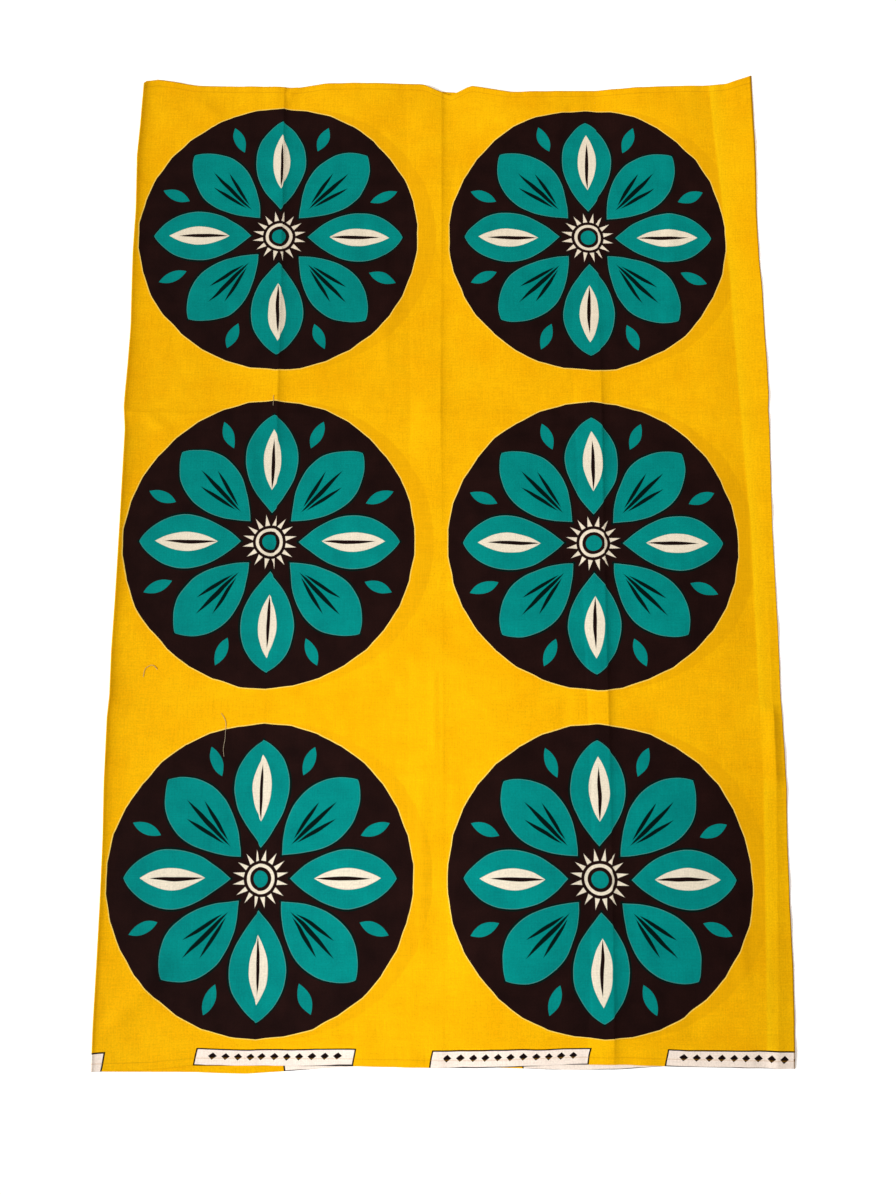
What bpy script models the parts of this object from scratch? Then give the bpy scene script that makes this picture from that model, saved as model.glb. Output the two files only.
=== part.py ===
from collections import namedtuple
import math

import bmesh
import bpy
import numpy as np

# Wrapper cloth: one length of wax-print cotton, folded in half once and laid flat on a table.
# While it is worked out, x runs from the fold to the cut ends, y from the foot selvedge to the head
# selvedge and z up. At the end everything moves so that the origin is below the middle.

# Driving sizes, in metres
CUT_LENGTH = 1.501
CLOTH_WIDTH = 1.15
WALL = 0.0012
LAYER_GAP = 0.0003

# The rounded fold at the left: its height, how far its puff reaches and how far it turns under
FOLD_HEIGHT = 0.005
FOLD_PUFF_REACH = 0.05
FOLD_TURN_UNDER = 0.012
FOLD_STEPS = 6

# Where the upper half comes down past the end of the lower half
END_CLEARANCE = 0.001

# How far in from a selvedge its unevenness dies away, and over what distance from there the hidden
# half rounds up to fill the space below the domed panels
EDGE_BLEND = 0.05
FILL_BLEND = 0.04

# The first column beside the fold's crown and the first row beside the head selvedge
NEAR_EDGE = 0.012
SHARP_EDGE_DEGREES = 40

HALF_LENGTH = CUT_LENGTH / 2
FOLD_RADIUS = FOLD_HEIGHT / 2
STACK_HEIGHT = 2 * WALL + LAYER_GAP

# The two selvedges, as how far each half lies above its nominal line at a distance from the fold
Selvedge = namedtuple("Selvedge", "x upper lower")
FOOT_SELVEDGE = (
    Selvedge(x=0.000, upper=0.000, lower=0.000),
    Selvedge(x=0.060, upper=0.002, lower=0.000),
    Selvedge(x=0.108, upper=0.007, lower=0.000),
    Selvedge(x=0.157, upper=0.007, lower=-0.002),
    Selvedge(x=0.205, upper=0.007, lower=0.001),
    Selvedge(x=0.276, upper=0.007, lower=0.006),
    Selvedge(x=0.371, upper=0.005, lower=0.009),
    Selvedge(x=0.412, upper=0.005, lower=0.006),
    Selvedge(x=0.507, upper=0.009, lower=0.003),
    Selvedge(x=0.565, upper=0.009, lower=0.004),
    Selvedge(x=0.650, upper=0.007, lower=0.010),
    Selvedge(x=0.750, upper=0.005, lower=0.010),
)
HEAD_SELVEDGE = (
    Selvedge(x=0.000, upper=0.005, lower=0.005),
    Selvedge(x=0.018, upper=0.009, lower=0.006),
    Selvedge(x=0.066, upper=0.000, lower=-0.003),
    Selvedge(x=0.190, upper=-0.002, lower=-0.005),
    Selvedge(x=0.225, upper=0.003, lower=0.000),
    Selvedge(x=0.345, upper=0.003, lower=0.000),
    Selvedge(x=0.361, upper=-0.004, lower=-0.005),
    Selvedge(x=0.381, upper=-0.011, lower=-0.006),
    Selvedge(x=0.404, upper=0.002, lower=-0.007),
    Selvedge(x=0.454, upper=-0.008, lower=-0.011),
    Selvedge(x=0.559, upper=-0.004, lower=-0.007),
    Selvedge(x=0.702, upper=0.004, lower=0.000),
    Selvedge(x=0.722, upper=0.007, lower=0.000),
    Selvedge(x=0.750, upper=0.018, lower=0.000),
)

# Lines that run up the cloth, as their x at five heights: the three creases from when it lay folded
# in a packet, the cut end of the lower half, and where the upper half comes down on the table
LINE_HEIGHTS = (0.0, 0.3, 0.6, 0.9, 1.15)
UpLine = namedtuple("UpLine", "path rise reach")
FIRST_CREASE = UpLine(path=(0.170, 0.169, 0.180, 0.178, 0.174), rise=0.0022, reach=0.012)
MIDDLE_CREASE = UpLine(path=(0.370, 0.372, 0.374, 0.370, 0.367), rise=0.0, reach=0.012)
THIRD_CREASE = UpLine(path=(0.558, 0.560, 0.557, 0.557, 0.558), rise=0.0020, reach=0.012)
LOWER_END = UpLine(path=(0.718, 0.728, 0.726, 0.714, 0.698), rise=0.0, reach=0.012)
LANDING = UpLine(path=(0.732, 0.746, 0.745, 0.738, 0.722), rise=0.0, reach=0.0)
PANEL_LINES = (FIRST_CREASE, MIDDLE_CREASE, THIRD_CREASE, LOWER_END)

# Creases that run across it, as their y, how far they stand up and how far they reach
CrossLine = namedtuple("CrossLine", "y rise reach")
CROSS_CREASES = (
    CrossLine(y=0.033, rise=0.0010, reach=0.010),
    CrossLine(y=0.320, rise=0.0012, reach=0.012),
    CrossLine(y=0.387, rise=0.0, reach=0.012),
    CrossLine(y=0.730, rise=0.0018, reach=0.012),
    CrossLine(y=1.019, rise=0.0012, reach=0.012),
)

# The panels between those creases stand up in low domes. One row for each band of panels: where the
# band starts and ends, and the dome of its four panels from the fold to the cut ends. The first and
# last band go on past the selvedges, so their domes lift the edge.
Band = namedtuple("Band", "start end domes")
BANDS = (
    Band(start=-0.033, end=0.033, domes=(0.0006, 0.0014, 0.0012, 0.0012)),
    Band(start=0.033, end=0.387, domes=(0.0030, 0.0024, 0.0034, 0.0022)),
    Band(start=0.387, end=0.730, domes=(0.0022, 0.0030, 0.0024, 0.0032)),
    Band(start=0.730, end=1.019, domes=(0.0024, 0.0018, 0.0028, 0.0018)),
    Band(start=1.019, end=1.281, domes=(0.0020, 0.0036, 0.0030, 0.0030)),
)

# How many even columns and rows stand between one line and the next
COLUMNS_BETWEEN_LINES = (5, 6, 6, 5)
ROWS_BETWEEN_CREASES = (0, 5, 1, 6, 5, 2)


def smooth_step(t):
    t = min(max(t, 0.0), 1.0)
    return t * t * (3 - 2 * t)


def line_x(line, y):
    return float(np.interp(y, LINE_HEIGHTS, line.path))


def selvedge_offset(table, x, half):
    distances = [row.x for row in table]
    offsets = [getattr(row, half) for row in table]
    return float(np.interp(x, distances, offsets))


def stations(start, end, near_start, near_end, between):
    """Places after start, up to and including end: one near each line and some even ones between."""
    first = start + near_start
    last = end - near_end
    places = [first] if near_start else []
    step = (last - first) / (between + 1)
    places += [first + step * (n + 1) for n in range(between)]
    return places + ([last] if near_end else []) + [end]


def row_places():
    places = [0.0]
    near_start = 0.0
    ends = [(crease.y, crease.reach) for crease in CROSS_CREASES] + [(CLOTH_WIDTH, NEAR_EDGE)]
    for (end, near_end), between in zip(ends, ROWS_BETWEEN_CREASES):
        places += stations(places[-1], end, near_start, near_end, between)
        near_start = near_end
    return places


def column_places(y):
    """The x of each column of the upper half, from the crown of the fold to its own cut end."""
    places = [FOLD_RADIUS]
    near_start = NEAR_EDGE
    for line, between in zip(PANEL_LINES, COLUMNS_BETWEEN_LINES):
        end = line_x(line, y) + (END_CLEARANCE if line is LOWER_END else 0.0)
        places += stations(places[-1], end, near_start, line.reach, between)
        near_start = line.reach
    return places + [line_x(LANDING, y), HALF_LENGTH]


def crest(distance, rise, reach):
    """A crease with a sharp top and hollow flanks."""
    return rise * max(0.0, 1 - abs(distance) / reach) ** 2


def panel_lift(x, y):
    """How far the dome of the panel round a point stands up."""
    edges = [0.0] + [line_x(line, y) for line in PANEL_LINES]
    for band in BANDS:
        up = (y - band.start) / (band.end - band.start)
        if not 0 <= up <= 1:
            continue
        for left, right, dome in zip(edges, edges[1:], band.domes):
            across = (x - left) / (right - left)
            if 0 <= across <= 1:
                return dome * math.sin(math.pi * up) * math.sin(math.pi * across)
    return 0.0


def crease_lift(x, y):
    lift = 0.0
    for line in PANEL_LINES:
        lift += crest(x - line_x(line, y), line.rise, line.reach)
    inner = smooth_step((line_x(LOWER_END, y) - x) / EDGE_BLEND) * smooth_step(x / EDGE_BLEND)
    for crease in CROSS_CREASES:
        lift += crest(y - crease.y, crease.rise, crease.reach) * inner
    return lift


def upper_top(x, y):
    """Height of the upper half's outer face."""
    end = line_x(LOWER_END, y) + END_CLEARANCE
    down = min(max((x - end) / (line_x(LANDING, y) - end), 0.0), 1.0)
    puff = (FOLD_HEIGHT - STACK_HEIGHT) * (1 - smooth_step((x - FOLD_RADIUS) / FOLD_PUFF_REACH))
    return STACK_HEIGHT - (WALL + LAYER_GAP) * down + puff + panel_lift(x, y) + crease_lift(x, y)


def lower_top(x, y):
    """Height of the hidden half, a single wall at its edges and rounded up below the panels."""
    margin = min(x, line_x(LOWER_END, y) - x, y, CLOTH_WIDTH - y)
    fill = smooth_step((margin - EDGE_BLEND) / FILL_BLEND)
    return WALL + fill * (upper_top(x, y) - STACK_HEIGHT)


def plan_y(x, y, half):
    """Moves a place near a selvedge to where that selvedge really runs."""
    foot = selvedge_offset(FOOT_SELVEDGE, x, half) * (1 - smooth_step(y / EDGE_BLEND))
    head = selvedge_offset(HEAD_SELVEDGE, x, half) * (1 - smooth_step((CLOTH_WIDTH - y) / EDGE_BLEND))
    return y + foot + head


def upper_section(y, inside):
    """One line across the upper half, from its cut end over the fold to the end of the turn-under."""
    drop = WALL if inside else 0.0
    radius = FOLD_RADIUS - drop
    line = [(x, plan_y(x, y, "upper"), upper_top(x, y) - drop) for x in reversed(column_places(y))]
    for step in range(1, FOLD_STEPS + 1):
        angle = math.pi / 2 + math.pi * step / FOLD_STEPS
        x = FOLD_RADIUS + radius * math.cos(angle)
        line.append((x, plan_y(x, y, "upper"), FOLD_RADIUS + radius * math.sin(angle)))
    line.append((FOLD_TURN_UNDER, plan_y(FOLD_TURN_UNDER, y, "upper"), drop))
    return line


def lower_section(y):
    """One line across the hidden half's top, from the turn-under to its own cut end. Between those
    two it has the upper half's columns, so that the two faces follow each other exactly."""
    shared_columns = column_places(y)[2:-3]
    columns = [FOLD_TURN_UNDER + LAYER_GAP] + shared_columns + [line_x(LOWER_END, y)]
    return [(x, plan_y(x, y, "lower"), lower_top(x, y)) for x in columns]


def add_grid(bm, lines):
    """Faces between lines of points, two triangles to each cell, all split along the same diagonal."""
    grid = [[bm.verts.new(point) for point in line] for line in lines]
    for near, far in zip(grid, grid[1:]):
        add_strip(bm, near, far)
    return grid


def add_strip(bm, near, far):
    for a, b, c, d in zip(near, near[1:], far[1:], far):
        bm.faces.new((a, b, c))
        bm.faces.new((a, c, d))


def outline_of(grid):
    """The points round a grid, in order."""
    foot = grid[0]
    far_side = [line[-1] for line in grid[1:]]
    head = list(reversed(grid[-1]))[1:]
    near_side = [line[0] for line in reversed(grid[1:-1])]
    return foot + far_side + head + near_side


def close_up(bm, name, material):
    """Turns the faces outward and makes the named object, shaded smooth but for its thin edges."""
    bmesh.ops.recalc_face_normals(bm, faces=bm.faces)
    mesh = bpy.data.meshes.new(name)
    bm.to_mesh(mesh)
    bm.free()
    mesh.shade_smooth()
    mesh.set_sharp_from_angle(angle=math.radians(SHARP_EDGE_DEGREES))
    mesh.materials.append(material)
    piece = bpy.data.objects.new(name, mesh)
    bpy.context.scene.collection.objects.link(piece)
    return piece


def make_upper_half(material):
    """A wall in the shape of the half that shows, round the fold to the end of the turn-under."""
    rows = row_places()
    bm = bmesh.new()
    outer = add_grid(bm, [upper_section(y, inside=False) for y in rows])
    inner = add_grid(bm, [upper_section(y, inside=True) for y in rows])
    outer_edge = outline_of(outer)
    inner_edge = outline_of(inner)
    add_strip(bm, outer_edge + outer_edge[:1], inner_edge + inner_edge[:1])
    return close_up(bm, "upper_half", material)


def make_lower_half(material):
    """The hidden half: its top follows the upper half from below, and its underside is flat."""
    bm = bmesh.new()
    top = outline_of(add_grid(bm, [lower_section(y) for y in row_places()]))
    bottom = [bm.verts.new((vert.co.x, vert.co.y, 0.0)) for vert in top]
    add_strip(bm, top + top[:1], bottom + bottom[:1])
    bm.faces.new(bottom)
    return close_up(bm, "lower_half", material)


def make_material(name, colour, roughness):
    material = bpy.data.materials.new(name)
    material.use_nodes = True
    shader = material.node_tree.nodes["Principled BSDF"]
    shader.inputs["Base Color"].default_value = (*colour, 1.0)
    shader.inputs["Roughness"].default_value = roughness
    shader.inputs["Metallic"].default_value = 0.0
    return material


def put_origin_below_middle(pieces):
    points = np.array([vert.co for piece in pieces for vert in piece.data.vertices])
    middle = (points.min(axis=0) + points.max(axis=0)) / 2
    for piece in pieces:
        for vert in piece.data.vertices:
            vert.co.x -= middle[0]
            vert.co.y -= middle[1]


def build():
    for old in list(bpy.data.objects):
        bpy.data.objects.remove(old)
    upper_cotton = make_material("printed cotton, right side", (0.90, 0.49, 0.01), 0.8)
    lower_cotton = make_material("printed cotton, hidden half", (0.80, 0.40, 0.01), 0.85)
    put_origin_below_middle([make_upper_half(upper_cotton), make_lower_half(lower_cotton)])


build()
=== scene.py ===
import math
import random

import bpy
import numpy as np
from mathutils import Matrix, Vector


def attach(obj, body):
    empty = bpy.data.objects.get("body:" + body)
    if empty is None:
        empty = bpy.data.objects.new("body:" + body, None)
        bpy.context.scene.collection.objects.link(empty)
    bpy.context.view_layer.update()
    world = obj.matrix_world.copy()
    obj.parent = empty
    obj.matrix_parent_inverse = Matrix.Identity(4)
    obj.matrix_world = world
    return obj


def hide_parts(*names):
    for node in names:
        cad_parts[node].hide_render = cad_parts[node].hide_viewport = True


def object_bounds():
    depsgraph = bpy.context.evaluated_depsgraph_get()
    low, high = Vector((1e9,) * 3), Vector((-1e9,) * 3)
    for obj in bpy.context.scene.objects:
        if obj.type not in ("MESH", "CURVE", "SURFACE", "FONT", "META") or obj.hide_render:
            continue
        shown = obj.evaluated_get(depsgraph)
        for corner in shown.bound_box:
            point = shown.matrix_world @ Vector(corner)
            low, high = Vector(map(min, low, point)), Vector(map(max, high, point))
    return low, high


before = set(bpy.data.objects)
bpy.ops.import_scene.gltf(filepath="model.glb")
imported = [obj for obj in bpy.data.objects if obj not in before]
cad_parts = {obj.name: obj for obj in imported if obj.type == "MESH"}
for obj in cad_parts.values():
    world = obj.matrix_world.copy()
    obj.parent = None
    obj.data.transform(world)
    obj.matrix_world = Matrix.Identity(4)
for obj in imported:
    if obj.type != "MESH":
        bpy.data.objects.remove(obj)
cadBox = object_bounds()
print("frame loaded")

# Places on the cloth are given as x from the fold to the cut ends and y from the foot selvedge to the
# head selvedge, in metres, as the CAD has them. These two shifts take them into the frame.
headReach = 1.168  # how far the head selvedge's highest point is from the foot line
shiftX = cadBox[0].x
shiftY = cadBox[1].y - headReach
millimetres = 1000.0  # in a metre; the print and the weave are drawn in millimetres


# the length of cotton

cloth = {
    "cutLength": 1.501,       # along the cloth, both halves and the way round the fold
    "width": 1.15,            # selvedge to selvedge
    "thickness": 0.00035,     # two crossed yarns
    "layerGap": 0.0001,       # between the two halves where they touch
    "airInside": 0.0016,      # air between them away from the edges
    "airReach": 0.045,        # it thins out over this towards a selvedge
    "airEnd": 0.06,           # and over this towards the last crease
    "foldDepth": 0.0011,      # from the fold's outermost line to its crown
    "foldSteps": 10,
    "edgeBlend": 0.05,        # an edge's unevenness dies away over this
    "lapWithin": 0.0012,      # where a crease is pinched over, the print goes under within this
    "fineStep": 0.0012,       # grid beside a crease
    "coarseStep": 0.0068,     # grid in the middle of a panel
    "stepGrowth": 1.20,
    "rowFineStep": 0.0016,
    "rowCoarseStep": 0.0082,
    "rowGrowth": 1.22,
    "lowerSteps": (0.003, 0.008),  # the hidden half's columns beside a crease
    "lowerCoarseStep": 0.030,
}

# the fold isn't pressed, so it stands up: y, how much of its height falls away quickly, within what
# distance, and how much falls away slowly
foldLine = (
    (0.00, 0.0010, 0.0016, 0.0003), (0.04, 0.0012, 0.0018, 0.0006), (0.12, 0.0014, 0.0030, 0.0014),
    (0.37, 0.0022, 0.0045, 0.0020), (0.40, 0.0022, 0.0050, 0.0020), (0.70, 0.0020, 0.0050, 0.0021),
    (0.74, 0.0016, 0.0050, 0.0022), (0.80, 0.0020, 0.0055, 0.0016), (1.00, 0.0028, 0.0062, 0.0009),
    (1.15, 0.0036, 0.0062, 0.0006),
)
slowFall = 0.018
# how far the fold and the upper cut end stray outwards from straight lines: y, fold, cut end
sideEdges = (
    (0.000, 0.0020, 0.0000), (0.050, 0.0020, 0.0020), (0.110, 0.0014, 0.0034), (0.170, 0.0011, 0.0028),
    (0.245, 0.0016, 0.0035), (0.300, 0.0034, 0.0052), (0.375, 0.0038, 0.0042), (0.400, 0.0023, 0.0033),
    (0.450, 0.0029, 0.0037), (0.510, 0.0018, 0.0034), (0.600, 0.0011, 0.0027), (0.710, 0.0008, 0.0048),
    (0.737, 0.0034, 0.0046), (0.755, 0.0030, 0.0056), (0.785, 0.0017, 0.0057), (0.835, 0.0004, 0.0045),
    (0.880, 0.0015, 0.0042), (0.930, 0.0026, 0.0018), (0.985, 0.0017, 0.0014), (1.055, 0.0036, 0.0031),
    (1.100, 0.0014, 0.0029), (1.150, 0.0004, 0.0024),
)

# how far each selvedge lies above its nominal line: x, upper half, lower half
footSelvedge = (
    (0.000, 0.000, 0.000), (0.060, 0.002, 0.000), (0.108, 0.007, 0.000), (0.157, 0.007, -0.002),
    (0.205, 0.007, 0.001), (0.276, 0.007, 0.006), (0.371, 0.005, 0.009), (0.412, 0.005, 0.006),
    (0.507, 0.009, 0.003), (0.565, 0.009, 0.004), (0.650, 0.007, 0.010), (0.750, 0.005, 0.010),
)
headSelvedge = (
    (0.000, 0.001, 0.001), (0.004, 0.006, 0.005), (0.018, 0.009, 0.006), (0.066, 0.000, -0.003),
    (0.190, -0.002, -0.005), (0.225, 0.003, 0.000), (0.345, 0.003, 0.000), (0.361, -0.004, -0.005),
    (0.381, -0.011, -0.006), (0.404, 0.002, -0.007), (0.454, -0.008, -0.011), (0.559, -0.004, -0.007),
    (0.702, 0.004, 0.000), (0.722, 0.007, 0.000), (0.750, 0.018, 0.000),
)

# creases that run up the cloth: x of each at these heights, x of its foot, where the cloth starts to rise
# towards it, rise at places up the crease, power, which is below 1 where the foot is a crease too and the
# cloth bends up sharply from it, how soon the cloth falls away on the right, and lap, which is how much of
# the print is hidden where the crease is pinched over
lineHeights = (0.0, 0.1, 0.3, 0.6, 0.735, 0.9, 1.15)
upLines = {
    "firstCrease": {
        "x": (0.172, 0.171, 0.169, 0.179, 0.177, 0.177, 0.174),
        "foot": (0.112, 0.111, 0.109, 0.119, 0.117, 0.117, 0.114),
        "power": 1.3, "fall": 0.0058, "lap": 0.002,
        "rise": (
            (0.00, 0.0005), (0.06, 0.0005), (0.35, 0.0004), (0.44, 0.0002), (0.62, 0.0005), (0.69, 0.0008),
            (0.714, 0.0019), (0.74, 0.0023), (0.90, 0.0021), (1.08, 0.0026), (1.15, 0.0024)),
    },
    "middleCrease": {
        "x": (0.374, 0.374, 0.3735, 0.371, 0.3685, 0.369, 0.3685),
        "foot": (0.334, 0.334, 0.334, 0.3335, 0.3335, 0.3300, 0.3248),
        "power": 0.7, "fall": 0.0048, "lap": 0.001,
        "rise": (
            (0.00, 0.0007), (0.10, 0.0004), (0.31, 0.0006), (0.325, 0.0014), (0.35, 0.0008), (0.42, 0.0006),
            (0.70, 0.0009), (0.735, 0.0015), (0.78, 0.0013), (0.90, 0.0011), (1.04, 0.0014),
            (1.15, 0.0016)),
    },
    "thirdCrease": {
        "x": (0.557, 0.558, 0.559, 0.557, 0.558, 0.557, 0.558),
        "foot": (0.528, 0.534, 0.538, 0.5298, 0.5257, 0.5265, 0.528),
        "power": 0.7, "fall": 0.0050, "lap": 0.0015,
        "rise": (
            (0.00, 0.0012), (0.04, 0.0022), (0.30, 0.0017), (0.40, 0.0022), (0.45, 0.0023), (0.70, 0.0026),
            (0.735, 0.0020), (0.80, 0.0012), (0.95, 0.0005), (1.15, 0.0002)),
    },
    # the hidden half's end shows through as a line, with no rise of its own
    "lowerEnd": {
        "x": (0.719, 0.722, 0.728, 0.726, 0.720, 0.714, 0.698),
        "foot": (0.709, 0.712, 0.718, 0.716, 0.710, 0.704, 0.688),
        "power": 1.3, "fall": 0.0050, "lap": 0.0,
        "rise": ((0.0, 0.0),),
    },
}
# the last crease, beyond the hidden half's end: from it the upper half slopes down to its cut end
landing = {
    "x": (0.732, 0.736, 0.7435, 0.745, 0.742, 0.738, 0.722),
    "rise": (
        (0.00, 0.0014), (0.05, 0.0017), (0.14, 0.0017), (0.20, 0.0014), (0.30, 0.0016), (0.312, 0.0030),
        (0.380, 0.0031), (0.395, 0.0009), (0.55, 0.0003), (1.15, 0.0001)),
    "hollow": 1.5,            # power of the slope, where 1 is straight
    "held": 0.0012,           # with this rise or more, the cloth stays up from the hidden end to the crease
}

# creases across the cloth: y, and rise at places along the crease; the cloth rises towards it from the foot
# side and falls away on the head side
crossCreases = (
    (0.033, ((0.0, 0.0004), (0.20, 0.0008), (0.75, 0.0006))),
    (0.3205, ((0.0, 0.0006), (0.37, 0.0005), (0.75, 0.0005))),
    (0.387, ((0.0, 0.0009), (0.17, 0.0007), (0.22, 0.0003), (0.75, 0.0003))),
    (0.730, ((0.0, 0.0014), (0.17, 0.0012), (0.22, 0.0007), (0.75, 0.0009))),
    (1.019, ((0.0, 0.0006), (0.40, 0.0008), (0.75, 0.0006))),
)
crossShape = {
    "footSide": 0.030, "headSide": 0.0034, "power": 1.3,
    "fromFold": 0.012,        # they start over this distance from the fold
    "lostPastEnd": 0.6,       # how much weaker they are past the hidden half's end
}

# the same creases show faintly from below, as hollows over the table: how high and how far to each side
underside = {"upRise": 0.0003, "upReach": 0.009, "crossRise": 0.0002, "crossReach": 0.010, "fromFold": 0.03}

# low domes of the panels between the creases: band start, band end, domes from the fold to the end
panelBands = (
    (-0.033, 0.033, (0.0006, 0.0014, 0.0012, 0.0012)),
    (0.033, 0.387, (0.0030, 0.0024, 0.0034, 0.0022)),
    (0.387, 0.730, (0.0022, 0.0030, 0.0024, 0.0032)),
    (0.730, 1.019, (0.0024, 0.0018, 0.0028, 0.0018)),
    (1.019, 1.281, (0.0020, 0.0036, 0.0030, 0.0030)),
)

# soft ridges and small pinches: start x, y, end x, y, rise, half width
softRidges = (
    (0.147, 0.735, 0.152, 0.590, 0.0009, 0.007), (0.350, 0.325, 0.352, 0.090, 0.0005, 0.009),
    (0.177, 1.136, 0.192, 1.152, 0.0012, 0.006), (0.385, 0.350, 0.388, 0.100, 0.0004, 0.010),
    (0.590, 0.752, 0.591, 0.668, 0.0008, 0.008), (0.362, 0.440, 0.364, 0.320, 0.0006, 0.006),
    (0.118, 0.700, 0.150, 0.712, 0.0014, 0.008), (0.133, 0.699, 0.146, 0.680, 0.0012, 0.007),
    (0.492, 0.700, 0.519, 0.708, 0.0013, 0.008), (0.504, 0.702, 0.512, 0.684, 0.0011, 0.007),
    (0.012, 0.040, 0.085, 0.125, 0.0026, 0.013), (0.262, 0.735, 0.300, 0.755, 0.0008, 0.008),
    (0.235, 1.130, 0.238, 1.010, 0.0006, 0.010), (0.060, 1.135, 0.110, 1.090, 0.0010, 0.012),
    (0.045, 1.070, 0.150, 1.082, 0.0009, 0.010), (0.300, 0.860, 0.305, 0.775, 0.0008, 0.009),
    (0.640, 0.760, 0.648, 1.120, 0.0007, 0.012), (0.020, 0.730, 0.060, 0.700, 0.0010, 0.010),
    (0.690, 0.300, 0.700, 0.060, 0.0008, 0.010), (0.470, 0.370, 0.560, 0.352, 0.0006, 0.010),
)

handling = {
    "wrinkles": 120,          # faint ones from folding and laying out
    "wrinkleX": (0.02, 0.70),  # their middles lie between these
    "wrinkleY": (0.02, 1.12),
    "wrinkleTurn": 0.35,      # how far they turn from straight along or across, in radians
    "wrinkleLengths": (0.03, 0.14),
    "wrinkleRises": (0.00020, 0.00075),
    "wrinkleWidths": (0.008, 0.014),
    "swell": 0.00028,         # slow rise and fall of the whole sheet
    "swellWaves": 9,
    "swellLengths": (0.07, 0.22),
    "fromFold": 0.03,         # all this starts over this distance from the fold
    "lostPastEnd": 0.7,       # how much weaker wrinkles and swell are past the hidden half's end
    "seed": 7,
}

# the free edges don't lie quite flat: how far in an edge's ripple reaches, and two sines along the edge
# that are added up, each with its turn for a metre and its start, in radians
edgeRipple = {
    "rise": 0.0007,
    "foot": (0.020, (61, 0), (113, 1)),
    "head": (0.020, (71, 2), (127, 0)),
    "cutEnd": (0.012, (47, 1), (89, 0)),
}

# where one layer alone lies past the hidden half's end, light from the floor shines through it
shine = {
    "blend": 0.003,           # how sharply it starts at the hidden end
    "reach": 0.014,           # how soon it fades from there
    "lost": 0.8,              # how much of it is lost where the last crease stands highest
    "lostPower": 3,           # and how much less where the crease is lower
}


def smoothStep(t):
    t = np.clip(t, 0.0, 1.0)
    return t * t * (3 - 2 * t)


def lineX(path, y):
    return np.interp(y, lineHeights, path)


def tableAt(table, place, column=1):
    # one column of a table, read between its rows
    return np.interp(place, [row[0] for row in table], [row[column] for row in table])


def pastLanding(x, y):
    # 0 up to the last crease, and 1 at the upper cut end
    crease = lineX(landing["x"], y)
    return np.clip((x - crease) / (cloth["cutLength"] / 2 - crease), 0, 1)


def heldUp(y):
    # 1 where the last crease keeps the cloth up as high as it lies on the hidden half
    return np.clip(tableAt(landing["rise"], y) / landing["held"], 0, 1)


def edgeShift(x, y, half):
    # how far a place near an edge moves to where that edge really runs; half 1 is the upper one
    along = -tableAt(sideEdges, y, 1) * (1 - smoothStep(x / cloth["edgeBlend"]))
    if half == 1:
        along = along + tableAt(sideEdges, y, 2) * pastLanding(x, y)
    up = 0.0
    for table, away in ((footSelvedge, y), (headSelvedge, cloth["width"] - y)):
        up = up + tableAt(table, x, half) * (1 - smoothStep(away / cloth["edgeBlend"]))
    return along, up


def growingSteps(length, fine, coarse, growth):
    # places along a length, close together at both ends and evenly spread in the middle
    steps = [fine]
    while steps[-1] < coarse and 2 * (sum(steps) + 2 * steps[-1]) < length:
        steps.append(min(steps[-1] * growth, coarse))
    middle = length - 2 * sum(steps)
    count = max(1, round(middle / steps[-1]))
    spans = steps + [middle / count] * count + steps[::-1]
    return np.cumsum([0.0] + spans) / sum(spans)


def crestOver(distance, reach):
    # a crease with a sharp top and hollow flanks
    return np.clip(1 - np.abs(distance) / reach, 0, 1) ** 2


def creaseOver(distance, before, fall, power):
    # a pressed crease that the cloth rises to slowly and falls away from quickly, slower and slower
    rising = np.clip(1 + distance / before, 0, 1) ** power
    falling = np.exp(-np.maximum(distance, 0) / fall)
    return np.where(distance < 0, rising, falling)


def strokeOver(x, y, start, end, halfWidth):
    # a soft ridge along a line that fades out over its first and last quarter
    along = np.array(end) - np.array(start)
    length = math.hypot(*along)
    t = ((x - start[0]) * along[0] + (y - start[1]) * along[1]) / length ** 2
    away = ((x - start[0]) * along[1] - (y - start[1]) * along[0]) / length
    return np.clip(1 - (away / halfWidth) ** 2, 0, 1) ** 2 * smoothStep(4 * t) * smoothStep(4 * (1 - t))


def panelDomes(x, y):
    edges = [np.zeros_like(x)] + [lineX(line["x"], y) for line in upLines.values()]
    lift = np.zeros_like(x)
    for start, end, domes in panelBands:
        up = (y - start) / (end - start)
        inBand = (up >= 0) & (up < 1)
        for left, right, dome in zip(edges, edges[1:], domes):
            across = (x - left) / (right - left)
            inside = inBand & (across >= 0) & (across < 1)
            lift += np.where(inside, dome * np.sin(np.pi * up) * np.sin(np.pi * across), 0.0)
    return lift


def creases(x, y, inner):
    lift = np.zeros_like(x)
    for line in upLines.values():
        place = lineX(line["x"], y)
        over = creaseOver(x - place, place - lineX(line["foot"], y), line["fall"], line["power"])
        lift += tableAt(line["rise"], y) * over
    for place, rises in crossCreases:
        over = creaseOver(y - place, crossShape["footSide"], crossShape["headSide"], crossShape["power"])
        lift += tableAt(rises, x) * over * inner
    return lift


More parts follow.
